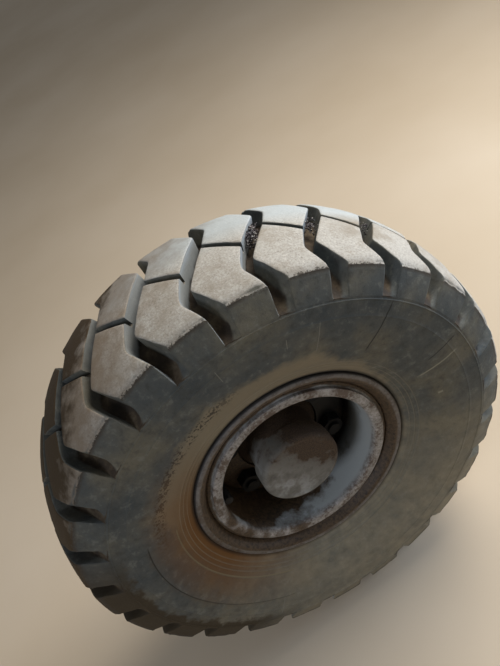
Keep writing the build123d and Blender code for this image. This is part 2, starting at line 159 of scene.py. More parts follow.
def turned(profile, segments=144, edge_segments=3):
    """Spins a closed outline about the axle into a closed shell. The outline is radius, y from the
    tyre's middle and rounding, in mm."""
    bm = bmesh.new()
    bm.faces.new([bm.verts.new((r, y, 0)) for r, y, _ in profile])
    for rounding in sorted({p[2] for p in profile if p[2]}):
        corners = [v for v in bm.verts
                   if any(abs(v.co.x - r) + abs(v.co.y - y) < same_place and k == rounding
                          for r, y, k in profile)]
        bmesh.ops.bevel(bm, geom=corners, offset=rounding, segments=edge_segments, profile=0.5,
                        affect="VERTICES", material=-1)
    bmesh.ops.delete(bm, geom=bm.faces[:], context="FACES_ONLY")
    bmesh.ops.spin(bm, geom=bm.verts[:] + bm.edges[:], cent=(0, 0, 0), axis=(0, 1, 0), angle=2 * pi,
                   steps=segments, use_merge=True)
    bmesh.ops.remove_doubles(bm, verts=bm.verts, dist=same_place)
    bmesh.ops.delete(bm, geom=[e for e in bm.edges if not e.link_faces], context="EDGES")
    bmesh.ops.recalc_face_normals(bm, faces=bm.faces)
    return bm


def place_piece(bm, name, material, replaced=(), sharp_from=35):
    """Moves a mesh, in mm about the wheel's centre, to its place as a piece of the wheel."""
    bm.transform(Matrix.Translation(wheel_centre) @ Matrix.Scale(mm, 4))
    for face in bm.faces:
        face.smooth = True
    for edge in bm.edges:
        edge.smooth = edge.calc_face_angle(0.0) < radians(sharp_from)
    mesh = bpy.data.meshes.new(name)
    bm.to_mesh(mesh)
    bm.free()
    mesh.materials.append(material)
    piece = bpy.data.objects.new(name, mesh)
    bpy.context.scene.collection.objects.link(piece)
    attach(piece, "wheel")
    if replaced:
        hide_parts(*replaced)


def about_wheel(tree):
    """A point's place from the wheel's centre, its y, its radius and its direction from the axle."""
    place = add_node(tree, "Mapping", {"Vector": add_node(tree, "TexCoord", out="Object"),
                                       "Location": [-c for c in wheel_centre]})
    flat = add_node(tree, "VectorMath", {0: place, 1: (1, 0, 1)}, operation="MULTIPLY")
    radius = add_node(tree, "VectorMath", {0: flat}, out="Value", operation="LENGTH")
    away = add_node(tree, "VectorMath", {0: flat}, operation="NORMALIZE")
    return place, add_node(tree, "SeparateXYZ", {0: place}, out="Y"), radius, away


def towards(tree, away, angle):
    """Cosine of the angle between a point's direction from the axle and one in degrees from +X."""
    aim = (cos(radians(angle)), 0, sin(radians(angle)))
    return add_node(tree, "VectorMath", {0: away, 1: aim}, out="Value", operation="DOT_PRODUCT")


cast_iron, tree = new_material("earthy_cast_iron", roughness=0.8)
place, y, radius, away = about_wheel(tree)
clods = add_node(tree, "TexNoise", {"Vector": place, "Scale": 1 / (23.8 * mm), "Detail": 7.0,
                                    "Roughness": 0.62})
skin = add_node(tree, "TexNoise", {"Vector": place, "Scale": 1 / (1.54 * mm), "Detail": 3.0})
upper = add_node(tree, "Math", {0: radius, 1: towards(tree, away, 40.1)}, operation="MULTIPLY")
earth_and_shade = add_node(tree, "MapRange", {"Value": upper, "From Min": -40 * mm, "From Max": 45 * mm,
                                    "To Min": -0.25, "To Max": 0.22})
# painted shade: darker brown further back, behind the cap
behind = add_node(tree, "MapRange", {"Value": y, "From Min": -30 * mm, "From Max": 0.0, "To Max": 0.4})
earth_and_shade = add_node(tree, "Math", {0: earth_and_shade, 1: behind}, operation="ADD")
earth_and_shade = add_node(tree, "Math", {0: clods, 1: earth_and_shade}, operation="ADD")
earth_and_shade = add_node(tree, "MapRange", {"Value": earth_and_shade, "From Min": 0.44, "From Max": 0.62})
dry = add_node(tree, "ValToRGB", {"Fac": clods},
               ramp=[(0.3, "#4f4b43"), (0.5, "#716e67"), (0.62, "#8f8f8b"), (0.72, "#a9aaa8")])
brown_earth_and_shade = add_node(tree, "ValToRGB", {"Fac": skin}, ramp=[(0.3, "#2a1e12"), (0.7, "#4c3a28")])
wire(tree, add_node(tree, "Mix", {0: earth_and_shade, 6: dry, 7: brown_earth_and_shade}, out=2, data_type="RGBA"),
     height=add_node(tree, "Math", {0: skin, 1: clods}, operation="ADD"), depth=1.2 * mm, strength=0.45)
hub = turned([(36.05, -40, 0.6), (47, -40, 0), (47, -4, 2), (56.7, 8, 1), (56.7, 13, 0), (89, 13, 2.5),
              (89, 26, 2.5), (56, 26, 5), (56, 54, 2), (45.02, 54, 0.5), (45.02, 46, 0), (42.55, 46, 0),
              (42.55, 24.4, 0), (31.05, 24.4, 0), (31.05, -16.4, 0), (36.05, -16.4, 0)])
place_piece(hub, "hub_casting", cast_iron, ["hub"])


# Hub cap. A pressed steel cap driven into the hub's nose, with a round edge and a face dished by
# 1 mm. It lies under the same dust and earth as the hub, and takes the hub's material.
cap = turned([(0, -66, 0), (43, -66, 1.5), (45, -67, 1), (51.5, -67, 6.5), (51.5, -40, 0.4),
              (35.8, -40, 0), (35.8, -35, 0), (30.8, -35, 0), (30.8, -45, 0), (46.5, -45, 0),
              (46.5, -62, 0), (0, -62, 0)], edge_segments=5)
place_piece(cap, "hub_cap_pressing", cast_iron, ["hub_cap"])


# Studs, nuts and valve. Zinc-plated steel, forged and rolled, in the depth of the wheel. A crust of
# grease and brown earth, lumpy every 7 mm or so, hides nearly all of the metal; its near-black colour
# is painted shade of the wheel's depth.
zinc_in_painted_shade, tree = new_material("zinc_in_painted_shade", metallic=0.1, roughness=0.75)
place = add_node(tree, "TexCoord", out="Object")
crust_and_shade = add_node(tree, "TexNoise", {"Vector": place, "Scale": 1 / (6.67 * mm), "Detail": 5.0})
wire(tree, add_node(tree, "ValToRGB", {"Fac": crust_and_shade},
                    ramp=[(0.35, "#0a0806"), (0.55, "#120f0c"), (0.75, "#221d18")]), height=crust_and_shade)
for name in ("wheel_studs", "wheel_nuts", "valve"):
    dress(name, zinc_in_painted_shade)


# Rim base, wheel disc, side ring and lock ring. Rolled and pressed steel in dull silver paint, the disc
# welded into the base, the loose side ring held by the lock ring in its gutter. The toe and the lip are
# speckled every 4 mm or so with chips down to rust, and brown earth lies in the gutter and the barrel.
# Painted shade darkens the barrel at its lower left along with the earth, the barrel further in, and
# the flange's edge against the tyre.
def near(tree, value, centre, half, soft):
    """1 where a value is within `half` of a centre, falling to 0 over `soft` beyond it."""
    off = add_node(tree, "Math", {0: value, 1: centre}, operation="SUBTRACT")
    off = add_node(tree, "Math", {0: off}, operation="ABSOLUTE")
    return add_node(tree, "MapRange", {"Value": off, "From Min": half + soft, "From Max": half})


rim_paint, tree = new_material("weathered_rim_paint", roughness=0.6)
place, y, radius, away = about_wheel(tree)
speckle = add_node(tree, "TexNoise", {"Vector": place, "Scale": 1 / (4.35 * mm), "Detail": 5.0,
                                      "Roughness": 0.72})
patch = add_node(tree, "TexNoise", {"Vector": place, "Scale": 1 / (25 * mm), "Detail": 5.0,
                                    "Roughness": 0.6})
weather = add_node(tree, "Math", {0: speckle, 1: patch}, operation="ADD")
front = add_node(tree, "MapRange", {"Value": y, "From Min": -56 * mm, "From Max": -65 * mm})
pale = add_node(tree, "MapRange", {"Value": weather, "From Min": 0.9, "From Max": 0.8, "To Max": 0.6})
pale = add_node(tree, "Math", {0: pale, 1: front}, operation="MULTIPLY")
chips = add_node(tree, "MapRange", {"Value": weather, "From Min": 0.96, "From Max": 1.12})
chips = add_node(tree, "Math", {0: chips, 1: front}, operation="MULTIPLY")
crown = add_node(tree, "MapRange", {"Value": radius, "From Min": 132 * mm, "From Max": 135 * mm,
                                    "To Max": 0.7})
# painted shade: the flange's edge against the tyre is near black
painted_gap_shade = add_node(tree, "MapRange", {"Value": radius, "From Min": 138.2 * mm, "From Max": 139.3 * mm,
                                      "To Max": 0.9})
# painted shade: the barrel darkens to near black further in
depth = add_node(tree, "MapRange", {"Value": y, "From Min": -30 * mm, "From Max": 2 * mm})

# earth and painted shade over the paint: brown at the lower left, in the barrel rather than on the toe,
# and earth in the gutter
mud_and_shade = add_node(tree, "MapRange", {"Value": towards(tree, away, 205), "From Min": 0.0, "From Max": 0.9,
                                  "To Max": 0.55})
mud_and_shade = add_node(tree, "Math", {0: mud_and_shade, 1: patch}, operation="ADD")
deep = add_node(tree, "MapRange", {"Value": y, "From Min": -62 * mm, "From Max": -30 * mm,
                                   "To Min": -0.3, "To Max": 0.06})
mud_and_shade = add_node(tree, "Math", {0: mud_and_shade, 1: deep}, operation="ADD")
mud_and_shade = add_node(tree, "MapRange", {"Value": mud_and_shade, "From Min": 0.62, "From Max": 0.85})
gutter = add_node(tree, "Math", {0: patch, 1: 6 * mm, 2: radius}, operation="MULTIPLY_ADD")
gutter = near(tree, gutter, 128.5 * mm, 7 * mm, 2.5 * mm)
mud_and_shade = add_node(tree, "Math", {0: mud_and_shade, 1: gutter}, operation="MAXIMUM")
grain = add_node(tree, "ValToRGB", {"Fac": speckle}, ramp=[(0.35, "#2a1e12"), (0.65, "#57442e")])
paint = "#a4a8a6"
for mask, tint in ((front, "#8d8882"), (pale, "#b3adaa"), (chips, "#5a4c42"), (crown, "#56514d"),
                   (painted_gap_shade, "#1b1714"), (depth, "#15120e"), (mud_and_shade, grain)):
    paint = add_node(tree, "Mix", {0: mask, 6: paint, 7: tint}, out=2, data_type="RGBA")
wire(tree, paint, height=weather, depth=0.9 * mm, strength=0.4)


def arc(centre, radius, start, end, steps):
    """Points of an arc in a profile, by degrees from the radial direction towards +Y."""
    angles = [radians(start + (end - start) * k / steps) for k in range(steps + 1)]
    return [(centre[0] + radius * cos(a), centre[1] + radius * sin(a), 0) for a in angles]


def flange_nose(side):
    """Rolled edge of a flange, from the bead seat over the crown to its outer face."""
    return [(127, side * 63.5, 2), *arc((136.25, side * 67.25), 3.75, -90 * side, 90 * side, 10),
            (130.25, side * 70, 2)]


rim_base = turned(flange_nose(1) + [
    (124, 64.5, 2), (119, 60.5, 2), (119, 46, 6), (102.5, 32, 6), (102.5, -66, 5), (116, -66, 1),
    (116, -61, 0.5), (110.5, -61, 0.5), (110.5, -52.5, 0.5), (116, -52.5, 0.5), (116, 31.5, 0),
    (127, 37.5, 0)])
place_piece(rim_base, "rim_base_shell", rim_paint, ["rim_base"])
disc = turned([(57, 4, 0.5), (102.48, 4, 12), (102.48, 30, 2), (93.48, 30, 2), (93.48, 13, 3),
               (57, 13, 0.5)])
place_piece(disc, "disc_pressing", rim_paint, ["wheel_disc"])
side_ring = turned(flange_nose(-1) + [
    (122.25, -59.75, 1), (122.25, -52.5, 0), (116.25, -52.5, 0), (116.25, -37.5, 0), (127, -37.5, 0)])
place_piece(side_ring, "side_ring_flange", rim_paint, ["side_ring"])
dress("lock_ring", rim_paint)


# Tyre. A bias-ply tyre of natural rubber on the rim's bead seats, moulded with 26 zigzag lugs that a
# shallow sipe cuts in two each, now worn and dusty. One pitch is laid flat, x along the tread, y across
# the section and z above the carcass, all in mm, and is wrapped round the wheel 26 times.
pitches = 26
first_groove = 90 - 4.6      # degrees from +X towards +Z
tread_r = 295.0
corner_y, corner_r = 81.0, 282.0
flank_y, flank_r = 91.0, 249.0
floor_y, floor_r = 48.0, 271.0
lug_height, sipe_height = 24.0, 12.0
wall_draft = 1.3             # how much a lug's foot is wider than its top, on each side
lug_end = flank_y + 2.5
pitch_length = 2 * pi * tread_r / pitches
crown_r = (corner_y ** 2 + (tread_r - corner_r) ** 2) / (2 * (tread_r - corner_r))
# radius and y of the bead's corners, and of points on the sidewall and on the hollow inside
bead_corners = [(140.25, 66.5), (140.25, 63.25), (127.25, 63.25), (127.25, 37.25), (144.25, 37.25)]
side_middle = (198.0, 90.6)
hollow_middle, hollow_top = (198.0, 74.0), (254.0, 47.0)


def circle_through(a, b, c):
    """Centre and radius of the circle through three points."""
    rows = np.array([[p[0] - a[0], p[1] - a[1]] for p in (b, c)])
    half = [(p[0] ** 2 - a[0] ** 2 + p[1] ** 2 - a[1] ** 2) / 2 for p in (b, c)]
    centre = np.linalg.solve(rows, half)
    return centre, hypot(a[0] - centre[0], a[1] - centre[1])


def angle_about(centre, point):
    """Angle of a point of the section about a centre."""
    return atan2(point[1] - centre[1], point[0] - centre[0])


# the section's distances from its middle, over the sidewall, round the bead and up the hollow
side_centre, side_r = circle_through((flank_r, flank_y), side_middle, bead_corners[0])
side_from = angle_about(side_centre, (flank_r, flank_y))
side_end = flank_y + (angle_about(side_centre, bead_corners[0]) - side_from) * side_r
bead_steps = [hypot(b[0] - a[0], b[1] - a[1]) for a, b in zip(bead_corners, bead_corners[1:])]
bead_at = [side_end + sum(bead_steps[:k]) for k in range(len(bead_corners))]
hollow_centre, hollow_r = circle_through(bead_corners[-1], hollow_middle, hollow_top)
hollow_from = angle_about(hollow_centre, bead_corners[-1])
hollow_end = bead_at[-1] + (hollow_from - angle_about(hollow_centre, hollow_top)) * hollow_r
section_end = hollow_end + hollow_top[1]


def side_at(r):
    """Distance along the section at which the sidewall has a radius."""
    return flank_y + (acos((r - side_centre[0]) / side_r) - side_from) * side_r


# radius, half width and height of the rings that the mould leaves on a sidewall
side_rings = [(245.2, 1.0, 0.7), (226.0, 1.0, 0.5), (161.0, 0.9, 0.8), (155.5, 0.9, 0.8),
              (150.0, 0.9, 0.8)]
# the bare raised panel, its radii, its angles in degrees from +X and its height and slope
panel_inner, panel_outer, panel_from, panel_to = 168.0, 205.0, 160.0, 240.0
panel_height, panel_slope = 1.2, 1.2


def relief(r, angle):
    """Height of the mouldings on a sidewall, at a radius and an angle in degrees."""
    height = 0.0
    for ring_r, half, rise in side_rings:
        height += rise * max(0.0, 1 - abs(r - ring_r) / half)
    across = min(r - panel_inner, panel_outer - r) / panel_slope
    along = min(angle % 360 - panel_from, panel_to - angle % 360)
    return height + panel_height * max(0.0, min(1.0, across)) * max(0.0, min(1.0, along))


wear_width, wear_down, wear_in = 4.5, 2.6, 1.4      # how the shoulder's corner is worn round
# how far the sidewall is drawn in from its circle, and the lengths below the flank and above the bead
# over which that comes in
draw_in, below_flank, above_bead = 0.9, 20.0, 10.0


def section(v, h, angle):
    """Radius and y at a distance v along the section and a height h above the carcass."""
    a, side = abs(v), 1 if v > 0 else -1
    if a <= flank_y:
        slope = max(0.0, (a - floor_y) / (flank_y - floor_y))
        base = (floor_r + slope * (flank_r - floor_r), a)
        if a <= corner_y:
            top = (tread_r - crown_r + sqrt(crown_r ** 2 - a ** 2), a)
        else:
            f = (a - corner_y) / (flank_y - corner_y)
            top = (corner_r + f * (flank_r - corner_r), a)
        worn = exp(-((a - corner_y) / wear_width) ** 2)
        top = (top[0] - wear_down * worn, top[1] - wear_in * worn)
        t = h / lug_height
        return base[0] + t * (top[0] - base[0]), side * (base[1] + t * (top[1] - base[1]))
    if a <= side_end:
        turn = side_from + (a - flank_y) / side_r
        r = side_centre[0] + side_r * cos(turn)
        inwards = draw_in * min(1.0, (a - flank_y) / below_flank, (side_end - a) / above_bead)
        out = side_r - inwards + relief(r, angle)
        return side_centre[0] + out * cos(turn), side * (side_centre[1] + out * sin(turn))
    if a <= bead_at[-1]:
        radii, ys = zip(*bead_corners)
        return float(np.interp(a, bead_at, radii)), side * float(np.interp(a, bead_at, ys))
    if a <= hollow_end:
        turn = hollow_from - (a - bead_at[-1]) / hollow_r
        return hollow_centre[0] + hollow_r * cos(turn), side * (hollow_centre[1] + hollow_r * sin(turn))
    return hollow_top[0], side * (section_end - a)


# y across the tread, and the offset of a groove's edge along the tread in pitches
groove_edge = [(-81.0, 0.302), (-49.0, 0.488), (-13.6, 0.257), (42.5, -0.268), (81.0, 0.027)]
knee_rounding = 5.0
facet_from, facet_width = 74.0, 14.0     # where a notch's slanting wall starts, its width at the end
notch_lean = 0.42            # share of a groove's width that its middle line leans at the end


def slant(v):
    """How far a notch has gone over to its slanting wall, from 0 to 1."""
    return max(0.0, (abs(v) - facet_from) / (lug_end - facet_from))


def edge_line(shift, mirrored):
    """A groove's edge from one end to the other, rounded at its knees, in flat mm."""
    flip = -1 if mirrored else 1
    points = [Vector(((p * flip + shift) * pitch_length, v * flip)) for v, p in groove_edge[::flip]]
    points = [Vector((points[0].x, -lug_end))] + points + [Vector((points[-1].x, lug_end))]
    line = [points[0]]
    for before, knee, after in zip(points, points[1:], points[2:]):
        start = knee + (before - knee).normalized() * knee_rounding
        end = knee + (after - knee).normalized() * knee_rounding
        line += [start, (4 * start + 4 * knee + end) / 9, (start + 4 * knee + 4 * end) / 9, end]
    return line + [points[-1]]


def groove_middle(shift):
    """The line down the middle of a groove, in flat mm."""
    edges = [edge_line(0, mirrored) for mirrored in (False, True)]
    knots = {s * v for v, _ in groove_edge for s in (-1, 1)}
    knots = sorted(knots | {-lug_end, -facet_from, facet_from, lug_end})
    mids = []
    for v in knots:
        high, low = [np.interp(v, [p.y for p in line], [p.x for p in line]) for line in edges]
        share = 0.5 + notch_lean * slant(v) * (1 if v < 0 else -1)
        mids.append(share * high + (1 - share) * low)
    return [Vector((mid + shift * pitch_length, v)) for mid, v in zip(mids, knots)]


flat = bmesh.new()
part = flat.faces.layers.int.new("part")
foot_shift = 1.2 * wall_draft / pitch_length      # pitches by which a lug's foot reaches into a groove
lines = [groove_middle(0), edge_line(-foot_shift, False), edge_line(1 + foot_shift, True),
         groove_middle(1)]
rows = [[flat.verts.new((p.x, p.y, 0)) for p in line] for line in lines]
for k in range(3):
    flat.faces.new(rows[k] + rows[k + 1][::-1])[part] = k % 2
for end, at in ((-1, 0), (1, -1)):
    corners = [flat.verts.new((x, end * section_end, 0)) for x in (0, pitch_length)]
    flat.faces.new([row[at] for row in rows] + corners[::-1])
bmesh.ops.recalc_face_normals(flat, faces=flat.faces)
if flat.faces[:][0].normal.z < 0:
    bmesh.ops.reverse_faces(flat, faces=flat.faces)

# The sipe parts a lug in two halves, parts 1 and 3. Part 2 between them is its floor, 4.8 mm wide, and
# with the draft of the walls the worn sipe is about 6 mm wide at the top.
sipe_v, sipe_p = -groove_edge[2][0], groove_edge[2][1]
sipe_run = Vector(((1 - 2 * sipe_p) * pitch_length, 2 * sipe_v, 0))
sipe_normal = Vector((-sipe_run.y, sipe_run.x, 0)).normalized()
lug_middle = Vector((0.5 * pitch_length, 0, 0))
sipe_half = 2.4
for side in (-1, 1):
    block = [f for f in flat.faces if f[part]]
    bmesh.ops.bisect_plane(flat, geom=block + list({e for f in block for e in f.edges})
                           + list({v for f in block for v in f.verts}), dist=same_place,
                           plane_co=lug_middle + side * sipe_half * sipe_normal, plane_no=sipe_normal)
for face in flat.faces:
    if face[part]:
        off = (face.calc_center_median_weighted() - lug_middle).dot(sipe_normal)
        face[part] = 2 if abs(off) < sipe_half else 2 + int(off / abs(off))
bmesh.ops.inset_region(flat, faces=[f for f in flat.faces if f[part]], thickness=wall_draft / 2,
                       depth=sipe_height, use_even_offset=True)

# one wall of each notch slants: its foot moves out, and the top stays
same_height = 0.01
near_wall = 0.08             # pitches
for vert in flat.verts:
    side = 1 if vert.co.y > 0 else -1
    wall = 0.5 - side * (0.5 + foot_shift - groove_edge[-1][1])
    in_notch = facet_from < abs(vert.co.y) < lug_end + 0.1 and vert.co.z < same_height
    if in_notch and abs(vert.co.x / pitch_length - wall) < near_wall:
        vert.co.x -= side * facet_width * slant(vert.co.y)
level_from = 0.99            # the least z in the normal of a level face
halves = [f for f in flat.faces if f[part] in (1, 3) and f.normal.z > level_from]
bmesh.ops.inset_region(flat, faces=halves, thickness=wall_draft / 2, depth=lug_height - sipe_height,
                       use_even_offset=True)


def edges_at(height):
    """Edges at a height, between a level face and a wall."""
    found = []
    for edge in flat.edges:
        level = [f.normal.z > level_from for f in edge.link_faces]
        at_height = all(abs(v.co.z - height) < same_height for v in edge.verts)
        if sum(level) == 1 and len(level) == 2 and at_height:
            found.append(edge)
    return found


# the short edge where the sipe meets a knee closes first, or the rounding would cross itself there
short_edge = 1.2
top_rounding, foot_rounding = 2.2, 1.8
tops = [v for v in flat.verts if v.co.z > sipe_height + 1]
bmesh.ops.remove_doubles(flat, verts=tops, dist=short_edge)
bmesh.ops.bevel(flat, geom=edges_at(lug_height), offset=top_rounding, segments=3, profile=0.5,
                affect="EDGES", material=-1)
bmesh.ops.bevel(flat, geom=edges_at(0.0), offset=foot_rounding, segments=2, profile=0.5,
                affect="EDGES", material=-1)

# cuts that let the flat pitch bend round the wheel and along the section, close at the shoulder
columns = 12
cuts = [((k * pitch_length / columns, 0, 0), (1, 0, 0)) for k in range(-8, columns + 9)]
stations = [k * 6.0 for k in range(13)] + [75.5, 78, 80, 81, 82, 84, 87, 89.5, flank_y, lug_end]
stations += list(np.arange(lug_end + 4, side_end - 2, 6.5)) + bead_at
stations += [side_at(r + k * half) for r, half, _ in side_rings for k in (-1, 0, 1)]
stations += [side_at(r) for r in (panel_inner, panel_inner + panel_slope,
                                  panel_outer - panel_slope, panel_outer)]
stations += [bead_at[-1] + k * (hollow_end - bead_at[-1]) / 4 for k in range(1, 5)]
cuts += [((0, s * v, 0), (0, 1, 0)) for v in sorted(stations) for s in (-1, 1)]
for point, direction in cuts:
    bmesh.ops.bisect_plane(flat, geom=flat.verts[:] + flat.edges[:] + flat.faces[:], dist=same_place,
                           plane_co=point, plane_no=direction)
one_pitch = bpy.data.meshes.new("one_pitch")
flat.to_mesh(one_pitch)
flat.free()

chip_width, chip_depth, chip_size = 6.0, 2.2, 7.0      # chips at the shoulder's edge
dip_depth, dip_size, worn_off = 0.5, 14.0, 0.25        # dips in the whole tread, and its even wear
weld_gap = 0.02
tyre = bmesh.new()
rise = tyre.verts.layers.float.new("rise")
for k in range(pitches):
    before = len(tyre.verts)
    tyre.from_mesh(one_pitch)
    tyre.verts.ensure_lookup_table()
    for vert in tyre.verts[before:]:
        x, v, h = vert.co
        angle = radians(first_groove) + 2 * pi * k / pitches + x / tread_r
        r, y = section(v, h, degrees(angle))
        vert[rise] = h if abs(v) < flank_y + same_height else -1.0
        if h > sipe_height and abs(v) < flank_y:
            spot = Vector((r * cos(angle), y, r * sin(angle)))
            by_edge = exp(-((abs(v) - corner_y) / chip_width) ** 2)
            chip = max(0.0, noise.noise(spot / chip_size)) * chip_depth * by_edge
            chip += dip_depth * max(0.0, noise.noise(spot / dip_size)) + worn_off
            r -= chip * (h - sipe_height) / (lug_height - sipe_height)
        vert.co = (r * cos(angle), y, r * sin(angle))
bpy.data.meshes.remove(one_pitch)
bmesh.ops.remove_doubles(tyre, verts=tyre.verts, dist=weld_gap)
bmesh.ops.recalc_face_normals(tyre, faces=tyre.faces)

# Dusty natural rubber: pale dry dust on the tops of the lugs, turning tan and dark brown with painted
# shade towards the left, smooth dark flanks, brown earth and painted shade in the bottoms of the
# grooves, painted sky light on the groove walls that face one way round the wheel, a tan band of dust
# round the bead and darker earth at its lower left, with painted shade over the lug flanks there. The
# grit is finer in truth, and is drawn 2.4 mm wide so that it shows.
rubber, tree = new_material("dusty_natural_rubber", roughness=0.8)
place, y, radius, away = about_wheel(tree)
normal = add_node(tree, "TexCoord", out="Normal")
grit = add_node(tree, "TexNoise", {"Vector": place, "Scale": 1 / (2.38 * mm), "Detail": 6.0,
                                   "Roughness": 0.7})
cloud = add_node(tree, "TexNoise", {"Vector": place, "Scale": 1 / (76.9 * mm), "Detail": 7.0,
                                    "Roughness": 0.6})
mottle = add_node(tree, "TexNoise", {"Vector": place, "Scale": 1 / (18.2 * mm), "Detail": 5.0,
                                     "Roughness": 0.6})
facing = add_node(tree, "VectorMath", {0: away, 1: normal}, out="Value", operation="DOT_PRODUCT")
aside = add_node(tree, "Math", {0: y}, operation="ABSOLUTE")

# tops of the lugs, bounded by worn, chipped edges
high = add_node(tree, "MapRange", {"Value": radius, "From Min": 274.5 * mm, "From Max": 278.5 * mm})
ragged = add_node(tree, "Math", {0: mottle, 1: 0.55, 2: facing}, operation="MULTIPLY_ADD")
level = add_node(tree, "MapRange", {"Value": ragged, "From Min": 0.9, "From Max": 1.04})
top = add_node(tree, "Math", {0: high, 1: level}, operation="MULTIPLY")
dust_end = add_node(tree, "Math", {0: grit, 1: 12 * mm, 2: aside}, operation="MULTIPLY_ADD")
dust_end = add_node(tree, "Math", {0: mottle, 1: 8 * mm, 2: dust_end}, operation="MULTIPLY_ADD")
dust_end = add_node(tree, "MapRange", {"Value": dust_end, "From Min": 90.5 * mm, "From Max": 88.5 * mm})
top = add_node(tree, "Math", {0: top, 1: dust_end}, operation="MULTIPLY")
stain = add_node(tree, "Math", {0: mottle, 1: 0.5, 2: cloud}, operation="MULTIPLY_ADD")
stain = add_node(tree, "MapRange", {"Value": stain, "From Min": 0.68, "From Max": 0.88, "To Max": 0.6})
far = add_node(tree, "MapRange", {"Value": y, "From Min": -5 * mm, "From Max": 30 * mm, "To Max": 0.6})
# painted shade: the tops turn tan and then dark brown towards the left, more on the far half
brown_earth_and_shade = add_node(tree, "Math", {0: towards(tree, away, 175), 1: 2.2, 2: mottle},
                operation="MULTIPLY_ADD")
brown_earth_and_shade = add_node(tree, "Math", {0: y, 1: 0.8 / (100 * mm), 2: brown_earth_and_shade}, operation="MULTIPLY_ADD")
half_shade_tan = add_node(tree, "MapRange", {"Value": brown_earth_and_shade, "From Min": 0.6, "From Max": 1.4, "To Max": 0.7})
brown_earth_and_shade = add_node(tree, "MapRange", {"Value": brown_earth_and_shade, "From Min": 1.5, "From Max": 1.82})
dust = add_node(tree, "ValToRGB", {"Fac": grit},
                ramp=[(0.3, "#6c675f"), (0.38, "#9b968d"), (0.55, "#afaba2"), (0.74, "#c6c2b9")])
for mask, tint in ((stain, "#857a69"), (far, "#adb8bc"), (half_shade_tan, "#705d46"), (brown_earth_and_shade, "#3a2a10")):
    dust = add_node(tree, "Mix", {0: mask, 6: dust, 7: tint}, out=2, data_type="RGBA")

# grooves, with earth and painted shade at their bottoms, and painted sky light on the walls that face
# one way round the wheel, except at the left
rise_here = add_node(tree, "Attribute", out="Fac", attribute_name="rise")      # mm
above = add_node(tree, "MapRange", {"Value": rise_here, "From Min": -0.6, "From Max": -0.1})
# earth in the bottoms of the grooves, its dark browns also painted shade of their depth
in_groove = add_node(tree, "Math", {0: mottle, 1: 9.0, 2: rise_here}, operation="MULTIPLY_ADD")
in_groove = add_node(tree, "MapRange", {"Value": in_groove, "From Min": 9.5, "From Max": 5.0})
in_groove = add_node(tree, "Math", {0: in_groove, 1: above}, operation="MULTIPLY")
earth_and_shade = add_node(tree, "ValToRGB", {"Fac": mottle},
                 ramp=[(0.3, "#1f170c"), (0.5, "#35291a"), (0.68, "#574831")])
forwards = add_node(tree, "VectorMath", {0: (0, 1, 0), 1: away}, operation="CROSS_PRODUCT")
painted_light_walls = add_node(tree, "VectorMath", {0: forwards, 1: normal}, out="Value", operation="DOT_PRODUCT")
painted_light_walls = add_node(tree, "MapRange", {"Value": painted_light_walls, "From Min": 0.45, "From Max": 0.85, "To Max": 0.8})
painted_light_walls = add_node(tree, "Math", {0: painted_light_walls, 1: above}, operation="MULTIPLY")
lit_side = add_node(tree, "MapRange", {"Value": towards(tree, away, 180), "From Min": 0.5,
                                    "From Max": 0.1})
painted_light_walls = add_node(tree, "Math", {0: painted_light_walls, 1: lit_side}, operation="MULTIPLY")

# sidewall: grey rubber, scuffed, with dust that thickens towards the bead
scuffs = add_node(tree, "TexNoise", {"Vector": place, "Scale": 1 / (11.1 * mm), "Detail": 8.0,
                                     "Roughness": 0.7})
scuff_dark = add_node(tree, "MapRange", {"Value": scuffs, "From Min": 0.52, "From Max": 0.66,
                                         "To Max": 0.55})
scuff_pale = add_node(tree, "MapRange", {"Value": scuffs, "From Min": 0.46, "From Max": 0.34,
                                         "To Max": 0.4})
reach = add_node(tree, "Math", {0: mottle, 1: -25 * mm, 2: radius}, operation="MULTIPLY_ADD")
reach = add_node(tree, "Math", {0: cloud, 1: -30 * mm, 2: reach}, operation="MULTIPLY_ADD")
limit = add_node(tree, "MapRange", {"Value": towards(tree, away, 110), "From Min": 0.1, "From Max": 1.0,
                                    "To Min": 118 * mm, "To Max": 170 * mm})
inside = add_node(tree, "Math", {0: limit, 1: reach}, operation="SUBTRACT")
tan_band = add_node(tree, "MapRange", {"Value": inside, "From Min": -3 * mm, "From Max": 9 * mm,
                                       "To Max": 0.8})

# flakes of old dirt at the upper left, brown earth at the lower left, and paler towards the bottom
flakes = add_node(tree, "TexNoise", {"Vector": place, "Scale": 1 / (3.7 * mm), "Detail": 4.0,
                                     "Roughness": 0.6})
flakes = add_node(tree, "MapRange", {"Value": flakes, "From Min": 0.51, "From Max": 0.55,
                                     "To Max": 0.85})
flake_band = near(tree, radius, 187 * mm, 4 * mm, 6 * mm)
flakes = add_node(tree, "Math", {0: flakes, 1: flake_band}, operation="MULTIPLY")
upper_left = add_node(tree, "MapRange", {"Value": towards(tree, away, 130), "From Min": 0.78,
                                         "From Max": 0.9})
flakes = add_node(tree, "Math", {0: flakes, 1: upper_left}, operation="MULTIPLY")
lower_left = add_node(tree, "MapRange", {"Value": towards(tree, away, 185), "From Min": 0.35,
                                         "From Max": 0.95})
brown = add_node(tree, "MapRange", {"Value": reach, "From Min": 185 * mm, "From Max": 122 * mm,
                                    "To Max": 0.95})
brown = add_node(tree, "Math", {0: brown, 1: lower_left}, operation="MULTIPLY")
pale = add_node(tree, "MapRange", {"Value": towards(tree, away, -78), "From Min": 0.2,
                                   "From Max": 0.95, "To Max": 0.85})
pale = add_node(tree, "Math", {0: pale, 1: mottle}, operation="MULTIPLY")
layers = [(scuff_dark, "#33322e"), (scuff_pale, "#7b7b72"), (tan_band, "#82765f"),
          (flakes, "#2a2117"), (brown, "#6c4512"), (pale, "#a0967e")]

